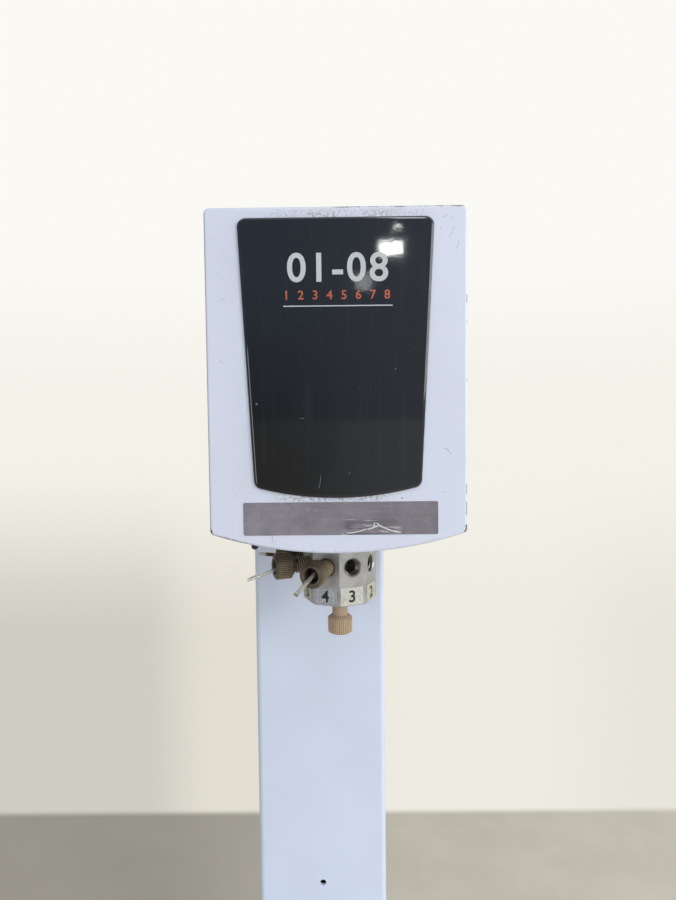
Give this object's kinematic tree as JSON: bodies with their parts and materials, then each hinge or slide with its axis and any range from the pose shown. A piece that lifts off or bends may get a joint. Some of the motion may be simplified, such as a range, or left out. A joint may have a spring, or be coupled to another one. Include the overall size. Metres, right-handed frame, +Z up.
{
  "type": "motorised multiport selector valve",
  "caption": "Bench-standing motorised selector valve: an octagonal fluid block under a painted drive head, on a column and base, with finger-tight tube fittings.",
  "frame": {"origin": "centre of the base's footprint on the bench", "axes": "+Z up, -Y to the operator's side with the panel and the label strip, +X to the right as seen from the front"},
  "size_m": [0.18, 0.25, 0.45],
  "materials": {
    "painted_base": "pale blue-grey powder coat",
    "painted_column": "pale blue-grey powder coat",
    "painted_head": "pale blue-grey powder coat with small chips",
    "panel_black": "glossy dark operator panel",
    "strip_silver": "satin metallic film, scratched",
    "stainless": "turned stainless steel",
    "plated_sheet": "zinc-plated sheet steel",
    "screw_steel": "plated machine screws",
    "rubber_black": "black rubber",
    "sticker": "printed number stickers",
    "nut_brown": "tan-brown engineering plastic",
    "ferrule_white": "off-white fluoropolymer",
    "tube_clear": "translucent fluoropolymer tubing",
    "rotor_tan": "filled fluoropolymer",
    "motor_black": "black painted motor",
    "aluminium_plain": "machined aluminium",
    "nylon_black": "black nylon",
    "board_green": "coated circuit board",
    "component_black": "moulded components",
    "brass_plain": "brass",
    "ballast_steel": "blued steel plate"
  },
  "bodies": {
    "root": {"ballast_plate": "ballast_steel", "ballast_screws": "screw_steel", "base_floor": "plated_sheet", "base_tray": "painted_base", "board_components": "component_black", "board_screws": "screw_steel", "board_standoffs": "brass_plain", "cable_grommet": "rubber_black", "circuit_board": "board_green", "column_foot_bracket": "plated_sheet", "column_head_bracket": "plated_sheet", "column_rear_cover": "painted_column", "column_shell": "painted_column", "column_side_screws": "screw_steel", "control_socket": "plated_sheet", "cover_screws": "screw_steel", "floor_screws": "screw_steel", "foot_bolts": "screw_steel", "foot_screws": "screw_steel", "front_panel": "panel_black", "head_bolts": "screw_steel", "head_chassis": "plated_sheet", "head_cover": "painted_head", "label_strip": "strip_silver", "light_sensor": "nylon_black", "locating_stud": "nylon_black", "motor_body": "motor_black", "motor_pillars": "brass_plain", "motor_plate": "aluminium_plain", "motor_screws": "screw_steel", "pillar_screws": "screw_steel", "port_labels": "sticker", "power_inlet": "component_black", "rear_cover_screws": "screw_steel", "rubber_feet": "rubber_black", "socket_screws": "screw_steel", "tray_blocks": "aluminium_plain", "valve_block": "stainless", "valve_cap": "stainless", "valve_screws": "screw_steel"},
    "rotor": {"rotor_plug": "rotor_tan", "rotor_stem": "stainless", "preload_washers": "stainless", "shaft_coupling": "aluminium_plain", "coupling_screws": "screw_steel", "encoder_disc": "component_black", "motor_shaft": "stainless"},
    "tube_body_4": {"tube_4": "tube_clear", "ferrule_4": "ferrule_white"},
    "nut_body_4": {"nut_4": "nut_brown"},
    "tube_body_5": {"tube_5": "tube_clear", "ferrule_5": "ferrule_white"},
    "nut_body_5": {"nut_5": "nut_brown"},
    "tube_body_6": {"tube_6": "tube_clear", "ferrule_6": "ferrule_white"},
    "nut_body_6": {"nut_6": "nut_brown"},
    "tube_body_common": {"tube_common": "tube_clear", "ferrule_common": "ferrule_white"},
    "nut_body_common": {"nut_common": "nut_brown"}
  },
  "joints": [
    {"name": "rotor_turn", "type": "hinge", "parent": "root", "child": "rotor", "pos_m": [0, 0.015, 0.3207], "axis": [0, 0, 1], "continuous": true},
    {"name": "draw_4", "type": "slide", "parent": "root", "child": "tube_body_4", "axis": [-0.3827, -0.9239, 0], "range_m": [0, 0.00363]},
    {"name": "turn_4", "type": "hinge", "parent": "tube_body_4", "child": "nut_body_4", "pos_m": [0, 0.015, 0.3207], "axis": [-0.3827, -0.9239, 0], "range_deg": [0, 1440.1]},
    {"name": "draw_5", "type": "slide", "parent": "root", "child": "tube_body_5", "axis": [-0.9239, -0.3827, 0], "range_m": [0, 0.00363]},
    {"name": "turn_5", "type": "hinge", "parent": "tube_body_5", "child": "nut_body_5", "pos_m": [0, 0.015, 0.3207], "axis": [-0.9239, -0.3827, 0], "range_deg": [0, 1440.1]},
    {"name": "draw_6", "type": "slide", "parent": "root", "child": "tube_body_6", "axis": [-0.9239, 0.3827, 0], "range_m": [0, 0.00363]},
    {"name": "turn_6", "type": "hinge", "parent": "tube_body_6", "child": "nut_body_6", "pos_m": [0, 0.015, 0.3207], "axis": [-0.9239, 0.3827, 0], "range_deg": [0, 1440.1]},
    {"name": "draw_common", "type": "slide", "parent": "root", "child": "tube_body_common", "axis": [0, 0, -1], "range_m": [0, 0.00308]},
    {"name": "turn_common", "type": "hinge", "parent": "tube_body_common", "child": "nut_body_common", "pos_m": [0, 0.015, 0.3207], "axis": [0, 0, -1], "range_deg": [0, 1224.1]}
  ],
  "couplings": [
    {"joint": "turn_4", "follows": "draw_4", "rad_per_m": 6926.3},
    {"joint": "turn_5", "follows": "draw_5", "rad_per_m": 6926.3},
    {"joint": "turn_6", "follows": "draw_6", "rad_per_m": 6926.3},
    {"joint": "turn_common", "follows": "draw_common", "rad_per_m": 6926.3}
  ]
}
